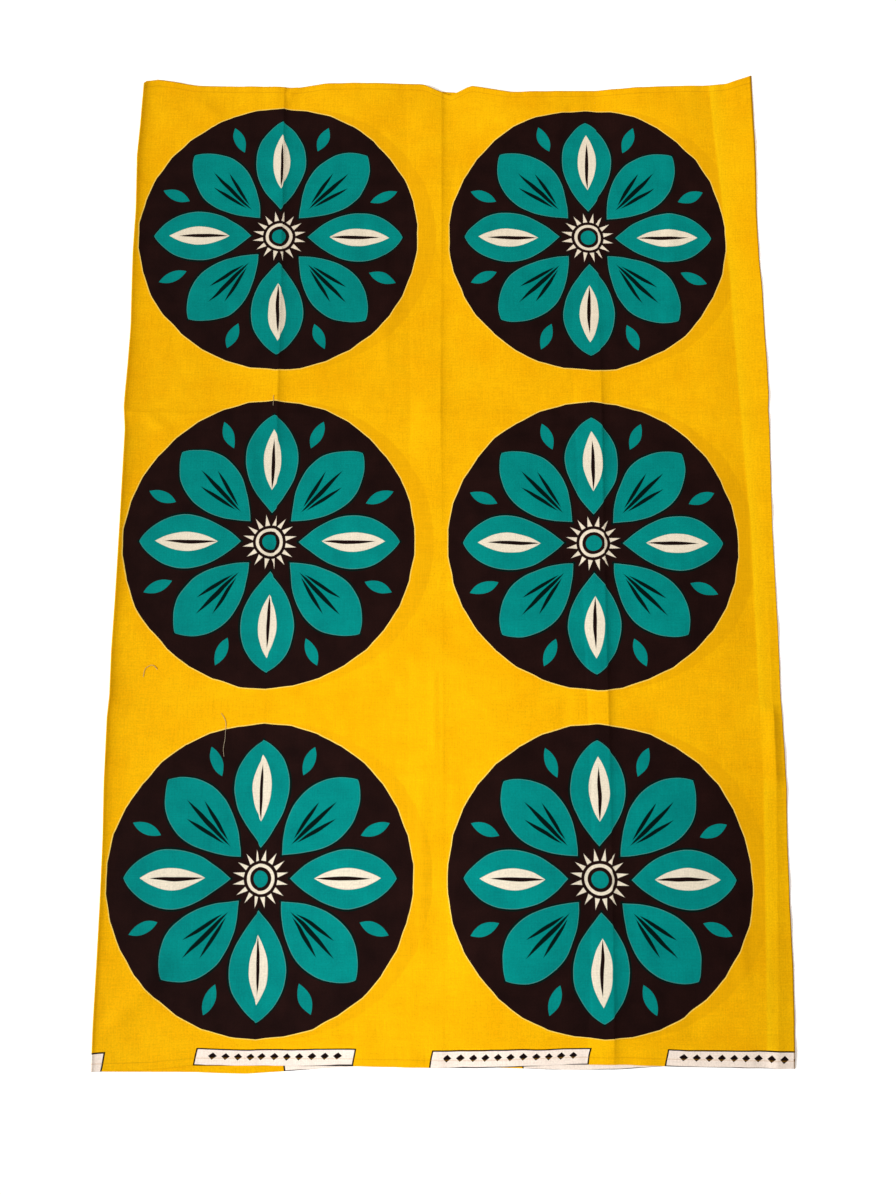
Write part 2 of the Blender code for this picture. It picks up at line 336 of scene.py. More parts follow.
def handlingMarks(x, y):
    # faint wrinkles at random and a slow swell
    dice = random.Random(handling["seed"])
    lift = np.zeros_like(x)
    for _ in range(handling["wrinkles"]):
        middle = (dice.uniform(*handling["wrinkleX"]), dice.uniform(*handling["wrinkleY"]))
        angle = dice.choice((0, math.pi / 2)) + dice.gauss(0, handling["wrinkleTurn"])
        half = dice.uniform(*handling["wrinkleLengths"]) / 2
        start = (middle[0] - half * math.cos(angle), middle[1] - half * math.sin(angle))
        end = (middle[0] + half * math.cos(angle), middle[1] + half * math.sin(angle))
        rise = dice.uniform(*handling["wrinkleRises"]) * dice.choice((-1, 1))
        lift += rise * strokeOver(x, y, start, end, dice.uniform(*handling["wrinkleWidths"]))
    swell = handling["swell"] / math.sqrt(handling["swellWaves"])
    for _ in range(handling["swellWaves"]):
        wave = 2 * math.pi / dice.uniform(*handling["swellLengths"])
        angle = dice.uniform(0, math.pi)
        phase = dice.uniform(0, 2 * math.pi)
        lift += swell * np.sin(wave * (x * math.cos(angle) + y * math.sin(angle)) + phase)
    return lift


def rippleAt(edge, inwards, along):
    reach, (turnA, startA), (turnB, startB) = edgeRipple[edge]
    waves = np.sin(along * turnA + startA) + np.sin(along * turnB + startB)
    return np.exp(-inwards / reach) * waves ** 2 / 4  # so it's 1 at most


def edgeRipples(x, y):
    foot = rippleAt("foot", y, x)
    head = rippleAt("head", cloth["width"] - y, x)
    cutEnd = rippleAt("cutEnd", cloth["cutLength"] / 2 - x, y)
    return edgeRipple["rise"] * (foot + head + cutEnd)


def upperHeight(x, y):
    # the outer face of the half that shows
    thickness, gap = cloth["thickness"], cloth["layerGap"]
    lowerEnd = lineX(upLines["lowerEnd"]["x"], y)
    lastCrease = lineX(landing["x"], y)
    down = smoothStep((x - lowerEnd) / (lastCrease - lowerEnd))
    fromSelvedge = np.minimum(y, cloth["width"] - y)
    held = np.maximum(smoothStep((lastCrease - x) / cloth["airEnd"]), heldUp(y))
    onLower = 2 * thickness + gap + cloth["airInside"] * smoothStep(fromSelvedge / cloth["airReach"]) * held
    onTable = thickness + gap + tableAt(landing["rise"], y) * (1 - pastLanding(x, y)) ** landing["hollow"]
    height = onLower * (1 - down) + onTable * down

    fromCrown = x - cloth["foldDepth"]
    quick, within, slow = (tableAt(foldLine, y, n) for n in (1, 2, 3))
    height = height + quick * np.exp(-fromCrown / within) + slow * np.exp(-fromCrown / slowFall)
    inner = smoothStep(x / crossShape["fromFold"]) * (1 - crossShape["lostPastEnd"] * down)
    height = height + panelDomes(x, y) + creases(x, y, inner)
    for x1, y1, x2, y2, rise, halfWidth in softRidges:
        height = height + rise * strokeOver(x, y, (x1, y1), (x2, y2), halfWidth)
    clearOfFold = smoothStep(x / handling["fromFold"])
    height = height + handlingMarks(x, y) * clearOfFold * (1 - handling["lostPastEnd"] * down)
    height = height + edgeRipples(x, y) * clearOfFold
    lowest = thickness + gap + (thickness + gap) * (1 - down)
    return np.maximum(height, lowest)


def lowerLift(x, y):
    lift = np.zeros_like(x)
    for name in ("firstCrease", "middleCrease", "thirdCrease"):
        lift += underside["upRise"] * crestOver(x - lineX(upLines[name]["x"], y), underside["upReach"])
    for place, _ in crossCreases:
        lift += underside["crossRise"] * crestOver(y - place, underside["crossReach"])
    return lift * smoothStep(x / underside["fromFold"])


def upperColumns(y):
    # x of each column on each row, so that columns follow the creases and the feet that are creases too
    lines = [np.full_like(y, cloth["foldDepth"])]
    for line in upLines.values():
        if line["power"] < 1:
            lines.append(lineX(line["foot"], y))
        lines.append(lineX(line["x"], y))
    lines += [lineX(landing["x"], y), np.full_like(y, cloth["cutLength"] / 2)]
    columns = [lines[0]]
    for left, right in zip(lines, lines[1:]):
        length = float(np.mean(right - left))
        parts = growingSteps(length, cloth["fineStep"], cloth["coarseStep"], cloth["stepGrowth"])
        columns += [left + (right - left) * part for part in parts[1:]]
    return np.array(columns).T


def lowerColumns(y):
    # fewer columns, with a few beside each crease
    lines = [np.full_like(y, cloth["foldDepth"])]
    lines += [lineX(line["x"], y) for line in upLines.values()]
    near = cloth["lowerSteps"]
    columns = []
    for left, right in zip(lines, lines[1:]):
        inside = [left + step for step in near] + [right - step for step in near[::-1]]
        count = round(float(np.mean(right - left)) / cloth["lowerCoarseStep"])
        even = [inside[1] + (inside[2] - inside[1]) * n / count for n in range(1, count)]
        columns += inside[:2] + even + inside[2:] + [right]
    return np.array(columns).T


def rowPlaces():
    stops = [0.0] + [place for place, _ in crossCreases] + [cloth["width"]]
    rows = [0.0]
    for start, end in zip(stops, stops[1:]):
        parts = growingSteps(end - start, cloth["rowFineStep"], cloth["rowCoarseStep"], cloth["rowGrowth"])
        rows += [start + (end - start) * part for part in parts[1:]]
    return np.array(rows)


def clothMarks(upperX, upperY, foldX, lowerX):
    # for the material: where the hidden half lies below, where the floor shines through, and the cut ends,
    # which get painted shade
    none = np.zeros_like(foldX), np.zeros_like(lowerX)
    pastLower = upperX - lineX(upLines["lowerEnd"]["x"], upperY)
    single = smoothStep(pastLower / shine["blend"])
    stands = tableAt(landing["rise"], upperY) / max(rise for _, rise in landing["rise"])
    fading = np.exp(-np.maximum(pastLower, 0) / shine["reach"])
    # painted light: how much of the floor's light shows through the single layer
    floorShine = single * fading * (1 - shine["lost"] * stands ** shine["lostPower"])
    doubled = np.hstack((1 - single, *none))
    cutEnds = np.zeros_like(doubled)
    cutEnds[:, [0, -1]] = 1.0
    return {"overLowerHalf": doubled, "shineThrough": np.hstack((floorShine, *none)), "cutEnds": cutEnds}


def makeCloth():
    # one sheet, from the upper cut end over the fold to the lower cut end
    rows = rowPlaces()
    y = rows[:, None]
    upperX = upperColumns(rows)[:, ::-1]
    upperY = np.broadcast_to(y, upperX.shape)
    upperZ = upperHeight(upperX, upperY)
    depth = cloth["foldDepth"]
    radius = upperZ[:, -1:] / 2
    turns = np.arange(1, cloth["foldSteps"] + 1) / cloth["foldSteps"]
    foldX = np.broadcast_to(depth * (1 - np.sin(math.pi * turns)), (len(rows), len(turns)))
    foldZ = radius * (1 + np.cos(math.pi * turns))
    foldY = np.broadcast_to(y, foldX.shape)
    lowerX = lowerColumns(rows)
    lowerY = np.broadcast_to(y, lowerX.shape)
    lowerZ = lowerLift(lowerX, lowerY)

    x = np.hstack((upperX, foldX, lowerX))
    place = np.hstack((upperY, foldY, lowerY))
    z = np.hstack((upperZ, foldZ, lowerZ))
    shifts = (edgeShift(upperX, upperY, 1), edgeShift(foldX, foldY, 1), edgeShift(lowerX, lowerY, 2))
    shiftAlong, shiftUp = (np.hstack([shift[n] for shift in shifts]) for n in (0, 1))

    # the print's place along the cloth, with the cloth that the fold and the pinched creases take up
    halfTurn = math.pi / 2 * np.sqrt((depth ** 2 + radius ** 2) / 2)
    upperU = upperX - depth + halfTurn
    for line in upLines.values():
        upperU = upperU + line["lap"] * smoothStep((upperX - lineX(line["x"], upperY)) / cloth["lapWithin"])
    along = np.hstack((upperU, halfTurn * (1 - 2 * turns), -(lowerX - depth + halfTurn)))

    rowCount, columnCount = x.shape
    points = np.stack((x + shiftAlong + shiftX, place + shiftUp + shiftY, z), axis=-1).reshape(-1, 3)
    index = np.arange(rowCount * columnCount).reshape(rowCount, columnCount)
    quads = np.stack((index[:-1, :-1], index[1:, :-1], index[1:, 1:], index[:-1, 1:]), axis=-1)
    quads = quads.reshape(-1, 4)
    mesh = bpy.data.meshes.new("foldedCloth")
    mesh.from_pydata(points.tolist(), [], quads.tolist())
    mesh.update()
    corners = quads.reshape(-1)
    cut = mesh.uv_layers.new(name="clothCut")
    cutPlaces = np.stack((along.reshape(-1)[corners], place.reshape(-1)[corners]), axis=-1)
    cut.data.foreach_set("uv", cutPlaces.reshape(-1))
    for name, values in clothMarks(upperX, upperY, foldX, lowerX).items():
        mesh.attributes.new(name, "FLOAT", "POINT").data.foreach_set("value", values.reshape(-1))
    mesh.shade_smooth()
    piece = bpy.data.objects.new("foldedCloth", mesh)
    bpy.context.scene.collection.objects.link(piece)
    wall = piece.modifiers.new("yarn thickness", "SOLIDIFY")
    wall.thickness = cloth["thickness"]
    wall.offset = -1
    wall.use_rim = True
    print("cloth built:", rowCount, "rows,", columnCount, "columns")
    return piece


# materials

def linearColour(hexText):
    # sRGB hex value to the linear colour that Blender works in
    parts = [int(hexText[n:n + 2], 16) / 255 for n in (1, 3, 5)]
    return tuple(p / 12.92 if p <= 0.04045 else ((p + 0.055) / 1.055) ** 2.4 for p in parts) + (1.0,)


def addNode(tree, kind, *values, at=None, out=0, **settings):
    # adds a node with its settings, and links or fills its inputs, in order or at= their names or numbers
    node = tree.nodes.new("ShaderNode" + kind)
    for name, value in settings.items():
        setattr(node, name, value)
    for slot, value in {**dict(enumerate(values)), **(at or {})}.items():
        if isinstance(value, bpy.types.NodeSocket):
            tree.links.new(value, node.inputs[slot])
        else:
            node.inputs[slot].default_value = value
    return node.outputs[out]


def maskAbove(tree, value, edge, blur):
    # 0 below an edge and 1 above it, as soft as dye in cotton, or with a negative blur the other way round
    return addNode(
        tree, "Math", value, 1 / blur, 0.5 - edge / blur, operation="MULTIPLY_ADD", use_clamp=True)


def maskBetween(tree, value, start, end, blur):
    above, below = maskAbove(tree, value, start, blur), maskAbove(tree, value, end, -blur)
    return addNode(tree, "Math", above, below, operation="MULTIPLY")


def printOver(tree, below, dye, mask, *otherMasks):
    # a dye over what is there, within all its masks; a Mix node's two colours are its inputs 6 and 7
    for other in otherMasks:
        mask = addNode(tree, "Math", mask, other, operation="MULTIPLY")
    return addNode(tree, "Mix", at={0: mask, 6: below, 7: dye}, out=2, data_type="RGBA")


# the print, in millimetres along the cloth from the fold and up from the selvedge; leaves and rays have
# their middle, half length and half width
roundels = {
    "pitchU": 375.0, "pitchV": 375.0,
    "firstU": 176.5, "firstV": 201.0,
    "radius": 167.5,
    "facets": 34,             # the cutter's short straight strokes round the edge
    "outline": 1.0,           # undyed line left by the resist
    "blur": 0.5,
    "wobble": 6.0,            # how far hand-cut edges wander, as a factor on soft noise
    "wobbleScale": 0.016,
}
petals = {
    "count": 8,
    "start": 34.0, "end": 150.0, "halfWidth": 32.0,
    "basePower": 1.0, "tipPower": 0.8,   # how full its outline is at each end, less being fuller
    "endDrop": 3.0,           # past its ends its outline is narrower by this
    "darkRim": 2.0,
    "paleLine": (0.3, 0.9),   # how far inside the outline it starts and ends
    "leaf": (97.0, 36.0, 11.5),
    "slit": (92.0, 30.0, 2.2),
    "ray": (84.0, 34.0, 2.6),
    "sideRay": (80.0, 24.0, 2.2), "sideSlope": 0.22, "sideStart": 44.0,
}
seeds = {"leaf": (137.0, 17.0, 6.5)}
centre = {
    "dot": 9.0, "ringIn": 13.0, "ringOut": 16.5,
    "points": 16, "pointBase": 20.0, "pointTip": 32.0, "pointWidth": 2.7,
}
labels = {
    "pitch": 254.0, "start": 108.0, "length": 172.5, "height": 20.0,
    "slant": 0.17,
    "frame": 1.7, "foot": 0.5,
    "blur": 0.4,
    "lozengePitch": 13.6, "lozengeWidth": 4.6, "lozengeHeight": 4.4, "lozengeBlur": 0.1,
    "middle": 10.4, "margin": 9.0,
    "nearFold": (50.0, 15.0),       # the boxes before this place start this much sooner
    "hiddenHalf": (-185.0, -37.5),
    "plain": (-195.0, -12.0),       # no box between these two places
}
inks = {
    "yellow": "#EFB503", "yellowWarm": "#E7A700", "yellowShineThrough": "#F5C307", "yellowGhost": "#DFA302",
    # painted shade along the cut ends; the same colour draws the faint selvedge line
    "yellowEdgeShadeAndSelvedge": "#B57D0A",
    "dark": "#170908", "darkRed": "#200E0C",
    "teal": "#008681", "tealDeep": "#007A77", "rim": "#001512", "paleLine": "#468A83",
    "resist": "#F2CF62", "cream": "#DFD6C2", "label": "#F0E2D6", "ink": "#130808",
}
ink = {name: linearColour(value) for name, value in inks.items()}


def almondMask(tree, along, across, form, blur):
    # a leaf pointed at both ends
    middle, halfLength, halfWidth = form
    t = addNode(tree, "Math", along, 1 / halfLength, -middle / halfLength, operation="MULTIPLY_ADD")
    square = addNode(tree, "Math", t, t, operation="MULTIPLY")
    width = addNode(tree, "Math", square, -halfWidth, halfWidth, operation="MULTIPLY_ADD")
    inside = addNode(tree, "Math", width, across, operation="SUBTRACT")
    return maskAbove(tree, inside, 0.0, blur)


def wedge(tree, radius, angle, count, turn):
    # folds the round into equal wedges: distance out along a wedge's middle, and distance off it
    half = math.pi / count
    turned = addNode(tree, "Math", angle, turn, operation="ADD")
    local = addNode(tree, "Math", turned, half, -half, operation="WRAP")
    cosine = addNode(tree, "Math", local, operation="COSINE")
    sine = addNode(tree, "Math", local, operation="SINE")
    out = addNode(tree, "Math", radius, cosine, operation="MULTIPLY")
    off = addNode(tree, "Math", radius, sine, operation="MULTIPLY")
    return out, addNode(tree, "Math", off, operation="ABSOLUTE")


def roundelPlace(tree, u, v):
    # distance and direction from the middle of the nearest roundel, and distance out to its faceted edge
    offU = addNode(tree, "Math", u, -roundels["firstU"], operation="ADD")
    offV = addNode(tree, "Math", v, -roundels["firstV"], operation="ADD")
    halfU, halfV = roundels["pitchU"] / 2, roundels["pitchV"] / 2
    cellU = addNode(tree, "Math", offU, halfU, -halfU, operation="WRAP")
    cellV = addNode(tree, "Math", offV, halfV, -halfV, operation="WRAP")
    flat = addNode(tree, "CombineXYZ", cellU, cellV, 0.0)
    radius = addNode(tree, "VectorMath", flat, out="Value", operation="LENGTH")
    angle = addNode(tree, "Math", cellV, cellU, operation="ARCTAN2")
    outward, _ = wedge(tree, radius, angle, roundels["facets"], 0.0)
    return radius, angle, outward


def printRoundels(tree, ground, u, v, mottle):
    blur = roundels["blur"]
    radius, angle, outward = roundelPlace(tree, u, v)
    edge = roundels["radius"]
    outerEdge = edge + roundels["outline"]
    darks = printOver(tree, ink["dark"], ink["darkRed"], mottle)
    colour = printOver(tree, ground, ink["resist"], maskAbove(tree, outward, outerEdge, -blur))
    colour = printOver(tree, colour, darks, maskAbove(tree, outward, edge, -blur))

    # petals, each with an outline that grows from its base and shrinks to its tip
    teal = printOver(tree, ink["tealDeep"], ink["teal"], mottle)
    along, across = wedge(tree, radius, angle, petals["count"], 0.0)
    start, end = petals["start"], petals["end"]
    length = end - start
    gone = addNode(
        tree, "Math", along, 1 / length, -start / length, operation="MULTIPLY_ADD", use_clamp=True)
    rest = addNode(tree, "Math", 1.0, gone, operation="SUBTRACT")
    base, tip = petals["basePower"], petals["tipPower"]
    widest = base / (base + tip)
    most = widest ** base * (1 - widest) ** tip
    grow = addNode(tree, "Math", gone, base, operation="POWER")
    shrink = addNode(tree, "Math", rest, tip, operation="POWER")
    outline = addNode(tree, "Math", grow, shrink, operation="MULTIPLY")
    width = addNode(tree, "Math", outline, petals["halfWidth"] / most, operation="MULTIPLY")
    inside = addNode(tree, "Math", width, across, operation="SUBTRACT")
    rim, drop = petals["darkRim"], petals["endDrop"]
    onPetal = maskBetween(tree, along, start - rim, end + rim, blur)
    dropped = addNode(tree, "Math", onPetal, drop, -drop, operation="MULTIPLY_ADD")
    inside = addNode(tree, "Math", inside, dropped, operation="ADD")
    lineStart, lineEnd = petals["paleLine"]
    colour = printOver(tree, colour, ink["rim"], maskAbove(tree, inside, -rim, blur))
    colour = printOver(tree, colour, ink["paleLine"], maskAbove(tree, inside, lineStart, blur))
    colour = printOver(tree, colour, teal, maskAbove(tree, inside, lineEnd, blur))

    # every other petal has a cream leaf, and those between have dark rays
    pair = 2 * math.pi / petals["count"]
    turned = addNode(tree, "Math", angle, pair / 2, operation="ADD")
    inPair = addNode(tree, "Math", turned, 2 * pair, 0.0, operation="WRAP")
    even = addNode(tree, "Math", inPair, pair, operation="LESS_THAN")
    odd = addNode(tree, "Math", 1.0, even, operation="SUBTRACT")
    leaf = almondMask(tree, along, across, petals["leaf"], blur)
    slit = almondMask(tree, along, across, petals["slit"], blur)
    colour = printOver(tree, colour, ink["cream"], leaf, even)
    colour = printOver(tree, colour, ink["dark"], slit, even)
    slope = petals["sideSlope"]
    sideMiddle = addNode(tree, "Math", along, -slope, slope * petals["sideStart"], operation="MULTIPLY_ADD")
    offSide = addNode(tree, "Math", across, sideMiddle, operation="ADD")
    offSide = addNode(tree, "Math", offSide, operation="ABSOLUTE")
    ray = almondMask(tree, along, across, petals["ray"], blur)
    sideRay = almondMask(tree, along, offSide, petals["sideRay"], blur)
    rays = addNode(tree, "Math", ray, sideRay, operation="MAXIMUM")
    colour = printOver(tree, colour, ink["rim"], rays, odd)

    # seeds between the tips, and the middle with its points, ring and dot
    seedAlong, seedAcross = wedge(tree, radius, angle, petals["count"], math.pi / petals["count"])
    colour = printOver(tree, colour, teal, almondMask(tree, seedAlong, seedAcross, seeds["leaf"], blur))
    pointAlong, pointAcross = wedge(tree, radius, angle, centre["points"], math.pi / centre["points"])
    pointTip = centre["pointTip"]
    taper = centre["pointWidth"] / (pointTip - centre["pointBase"])
    pointWidth = addNode(tree, "Math", pointAlong, -taper, pointTip * taper, operation="MULTIPLY_ADD")
    inPoint = addNode(tree, "Math", pointWidth, pointAcross, operation="SUBTRACT")
    colour = printOver(
        tree, colour, ink["cream"], maskAbove(tree, inPoint, 0.0, blur),
        maskAbove(tree, pointAlong, centre["pointBase"], blur))
    ring = maskBetween(tree, radius, centre["ringIn"], centre["ringOut"], blur)
    colour = printOver(tree, colour, ink["cream"], ring)
    return printOver(tree, colour, teal, maskAbove(tree, radius, centre["dot"], -blur))


def printLabels(tree, ground, u, v):
    # plain slanted boxes along the foot selvedge, each with a row of lozenges
    blur, length, height = labels["blur"], labels["length"], labels["height"]
    lean = addNode(tree, "Math", v, -labels["slant"], u, operation="MULTIPLY_ADD")
    for place, sooner in (labels["nearFold"], labels["hiddenHalf"]):
        before = addNode(tree, "Math", u, place, operation="LESS_THAN")
        lean = addNode(tree, "Math", before, sooner, lean, operation="MULTIPLY_ADD")
    first = labels["start"]
    inCell = addNode(tree, "Math", lean, first + labels["pitch"], first, operation="WRAP")
    across = addNode(tree, "Math", inCell, -first, operation="ADD")
    inLength = maskBetween(tree, across, 0.0, length, blur)
    box = addNode(tree, "Math", inLength, maskAbove(tree, v, height, -blur), operation="MULTIPLY")
    start, end = labels["plain"]
    plain = addNode(tree, "Math", u, (start + end) / 2, (end - start) / 2, operation="COMPARE")
    box = addNode(tree, "Math", box, plain, operation="SUBTRACT", use_clamp=True)
    panelAlong = maskBetween(tree, across, labels["frame"], length - labels["frame"], blur)
    panelUp = maskBetween(tree, v, labels["foot"], height - labels["frame"], blur)
    colour = printOver(tree, ground, ink["ink"], box)
    colour = printOver(tree, colour, ink["label"], panelAlong, panelUp, box)

    halfPitch = labels["lozengePitch"] / 2
    alongRow = addNode(tree, "Math", across, -length / 2, operation="ADD")
    offX = addNode(tree, "Math", alongRow, halfPitch, -halfPitch, operation="WRAP")
    offX = addNode(tree, "Math", offX, operation="ABSOLUTE")
    offY = addNode(tree, "Math", v, -labels["middle"], operation="ADD")
    offY = addNode(tree, "Math", offY, operation="ABSOLUTE")
    partX = addNode(tree, "Math", offX, 1 / labels["lozengeWidth"], operation="MULTIPLY")
    partY = addNode(tree, "Math", offY, 1 / labels["lozengeHeight"], operation="MULTIPLY")
    together = addNode(tree, "Math", partX, partY, operation="ADD")
    lozenge = maskAbove(tree, together, 1.0, -labels["lozengeBlur"])
    inRow = maskBetween(tree, across, labels["margin"], length - labels["margin"], blur)
    return printOver(tree, colour, ink["ink"], lozenge, inRow, box)


weave = {
    "pitch": 1.3,             # mm; the real yarns are 0.3 mm apart, drawn coarser to show at all
    "relief": 0.35,
    "reliefDepth": 0.00007,   # metres
    "slubs": 0.24,            # how much single thick yarns change the colour
    "slubAcross": 0.9,        # noise for each mm across a yarn
    "slubAlong": 0.035,       # and along it
    "grain": 0.42,            # the dye's own unevenness, in specks of about 2 mm
    "grainScale": 0.5,
    "colour": 0.05,
    "crinkleScale": 0.055,    # soft crinkles of about 18 mm, left by folding
    "crinkleDepth": 0.00048,
    "puckerDepth": 0.00050,   # small gathers along the selvedges, woven tighter than the rest
    "puckerAlong": 0.13,
    "puckerAcross": 0.025,
    "puckerReach": 9.0,       # mm in from a selvedge
    "puckerBlur": 12.0,
    "roughness": 0.86,        # cotton, dull from its fibres
    "ior": 1.5,
    "specular": 0.04,         # the fibres shade each other's gloss
    "cutEndShade": 0.7,            # painted shade: how much the cut ends are darkened, for the shade along the cloth's edge
    "selvedge": 8.0,          # mm; a faint line where the cloth proper starts
    "selvedgeHalfLine": 0.7,
    "selvedgeTint": 0.25,
}
dyeing = {
    "cloudScale": 0.012,      # warmer patches of about 80 mm
    "cloudRoughness": 0.68,
    "cloudBlur": 0.3,
    "mottleScale": 0.035,     # uneven darks and teals
    "mottleBlur": 0.4,
    "ghostBlur": 1.5,         # the hidden roundels show through softly
    "ghostSpeckle": (1.4, -0.05),   # and in specks: how much of the grain, and how much less
}


def makeWaxPrintCotton():
    # plain-weave cotton, printed and dyed right through: flat strong colours, hand-cut edges and a dull
    # surface with faint slubs
    material = bpy.data.materials.new("wax-print cotton")
    material.use_nodes = True
    tree = material.node_tree
    shader = tree.nodes["Principled BSDF"]

    cut = addNode(tree, "UVMap", uv_map="clothCut")
    flat = addNode(tree, "VectorMath", cut, at={"Scale": millimetres}, operation="SCALE")
    soft = addNode(
        tree, "TexNoise", at={"Vector": flat, "Scale": roundels["wobbleScale"], "Detail": 2.0}, out="Color")
    wander = addNode(tree, "VectorMath", soft, (0.5, 0.5, 0.5), operation="SUBTRACT")
    reach = (roundels["wobble"], roundels["wobble"], 0.0)
    wandered = addNode(tree, "VectorMath", wander, reach, flat, operation="MULTIPLY_ADD")
    u = addNode(tree, "SeparateXYZ", wandered, out="X")
    v = u.node.outputs["Y"]

    # yellow ground, warmer in cloudy patches, with painted light that makes it brighter where only the
    # white floor is below it, and darker where the hidden half's roundels are
    cloudLook = {"Scale": dyeing["cloudScale"], "Detail": 6.0, "Roughness": dyeing["cloudRoughness"]}
    clouds = addNode(tree, "TexNoise", at={"Vector": flat, **cloudLook})
    cloudy = maskAbove(tree, clouds, 0.5, dyeing["cloudBlur"])
    grain = addNode(tree, "TexNoise", at={"Vector": flat, "Scale": weave["grainScale"], "Detail": 3.0})
    below = addNode(tree, "Attribute", attribute_name="overLowerHalf", out="Fac")
    single = addNode(tree, "Attribute", attribute_name="shineThrough", out="Fac")
    yellow = printOver(tree, ink["yellow"], ink["yellowWarm"], cloudy)
    # painted light: a lighter yellow where light from the floor shines through one layer
    yellow = printOver(tree, yellow, ink["yellowShineThrough"], single)
    mirrored = addNode(tree, "Math", u, -1.0, operation="MULTIPLY")
    _, _, ghostOutward = roundelPlace(tree, mirrored, v)
    ghost = maskAbove(tree, ghostOutward, roundels["radius"], -dyeing["ghostBlur"])
    speckled = addNode(
        tree, "Math", grain, *dyeing["ghostSpeckle"], operation="MULTIPLY_ADD", use_clamp=True)
    yellow = printOver(tree, yellow, ink["yellowGhost"], ghost, below, speckled)

    patches = addNode(tree, "TexNoise", at={"Vector": flat, "Scale": dyeing["mottleScale"], "Detail": 5.0})
    mottle = maskAbove(tree, patches, 0.5, dyeing["mottleBlur"])
    colour = printRoundels(tree, yellow, u, v, mottle)
    colour = printLabels(tree, colour, u, v)
    # painted shade: a dark line along both cut ends, where the cloth's edge is shaded
    cutEnds = addNode(tree, "Attribute", attribute_name="cutEnds", out="Fac")
    colour = printOver(tree, colour, ink["yellowEdgeShadeAndSelvedge"], cutEnds, weave["cutEndShade"])

    # the selvedges are woven denser, with a faint line where the cloth proper starts
    halfWidth = cloth["width"] / 2 * millimetres
    upCut = addNode(tree, "SeparateXYZ", flat, out="Y")
    fromMiddle = addNode(tree, "Math", upCut, -halfWidth, operation="ADD")
    fromMiddle = addNode(tree, "Math", fromMiddle, operation="ABSOLUTE")
    fromSelvedge = addNode(tree, "Math", fromMiddle, -1.0, halfWidth, operation="MULTIPLY_ADD")
    selvedgeLine = addNode(
        tree, "Math", fromSelvedge, weave["selvedge"], weave["selvedgeHalfLine"], operation="COMPARE")
    colour = printOver(tree, colour, ink["yellowEdgeShadeAndSelvedge"], selvedgeLine, weave["selvedgeTint"])

    # yarns: a fine plain weave, and slubs that run along single threads both ways
    turn = 2 * math.pi / weave["pitch"]
    threadTurns = addNode(tree, "VectorMath", flat, (turn, turn, 0.0), operation="MULTIPLY")
    waves = addNode(tree, "VectorMath", threadTurns, operation="SINE")
    warpWave = addNode(tree, "SeparateXYZ", waves, out="X")
    crossing = addNode(tree, "Math", warpWave, warpWave.node.outputs["Y"], operation="MULTIPLY")
    across, along = weave["slubAcross"], weave["slubAlong"]
    weftPlace = addNode(tree, "VectorMath", flat, (along, across, 1.0), operation="MULTIPLY")
    warpPlace = addNode(tree, "VectorMath", flat, (across, along, 1.0), operation="MULTIPLY")
    weft = addNode(tree, "TexNoise", at={"Vector": weftPlace, "Scale": 1.0, "Detail": 2.0})
    warp = addNode(tree, "TexNoise", at={"Vector": warpPlace, "Scale": 1.0, "Detail": 2.0})
    slubs = addNode(tree, "Math", weft, warp, operation="ADD")
    relief = addNode(tree, "Math", crossing, weave["relief"], slubs, operation="MULTIPLY_ADD")

    # the same yarns darken and lighten the colour a little, round its own brightness
    whole = 1 - weave["grain"] / 2 - weave["slubs"]
    uneven = addNode(tree, "Math", grain, weave["grain"], whole, operation="MULTIPLY_ADD")
    shade = addNode(tree, "Math", slubs, weave["slubs"], uneven, operation="MULTIPLY_ADD")
    shade = addNode(tree, "Math", crossing, weave["colour"] / 2, shade, operation="MULTIPLY_ADD")
    shaded = addNode(tree, "VectorMath", colour, at={"Scale": shade}, operation="SCALE")
    tree.links.new(shaded, shader.inputs["Base Color"])

    # crinkles, puckers and yarns that are too fine for the mesh, each on top of the one before
    crinkles = addNode(tree, "TexNoise", at={"Vector": flat, "Scale": weave["crinkleScale"], "Detail": 3.0})
    puckerPlace = addNode(
        tree, "VectorMath", flat, (weave["puckerAlong"], weave["puckerAcross"], 1.0), operation="MULTIPLY")
    puckers = addNode(tree, "TexNoise", at={"Vector": puckerPlace, "Scale": 1.0, "Detail": 2.0})
    nearSelvedge = maskAbove(tree, fromSelvedge, weave["puckerReach"], -weave["puckerBlur"])
    puckers = addNode(tree, "Math", puckers, nearSelvedge, operation="MULTIPLY")
    full = {"Strength": 1.0}
    bump = addNode(tree, "Bump", at={**full, "Distance": weave["crinkleDepth"], "Height": crinkles})
    for depth, height in ((weave["puckerDepth"], puckers), (weave["reliefDepth"], relief)):
        bump = addNode(tree, "Bump", at={**full, "Distance": depth, "Height": height, "Normal": bump})
    tree.links.new(bump, shader.inputs["Normal"])
    shader.inputs["Roughness"].default_value = weave["roughness"]
    shader.inputs["IOR"].default_value = weave["ior"]
    shader.inputs["Specular IOR Level"].default_value = weave["specular"]
    return material


foldedCloth = makeCloth()
foldedCloth.data.materials.append(makeWaxPrintCotton())
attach(foldedCloth, "root")
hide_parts("upper_half", "lower_half")
print("cloth finished")


# loose threads left on the cloth by the cutting

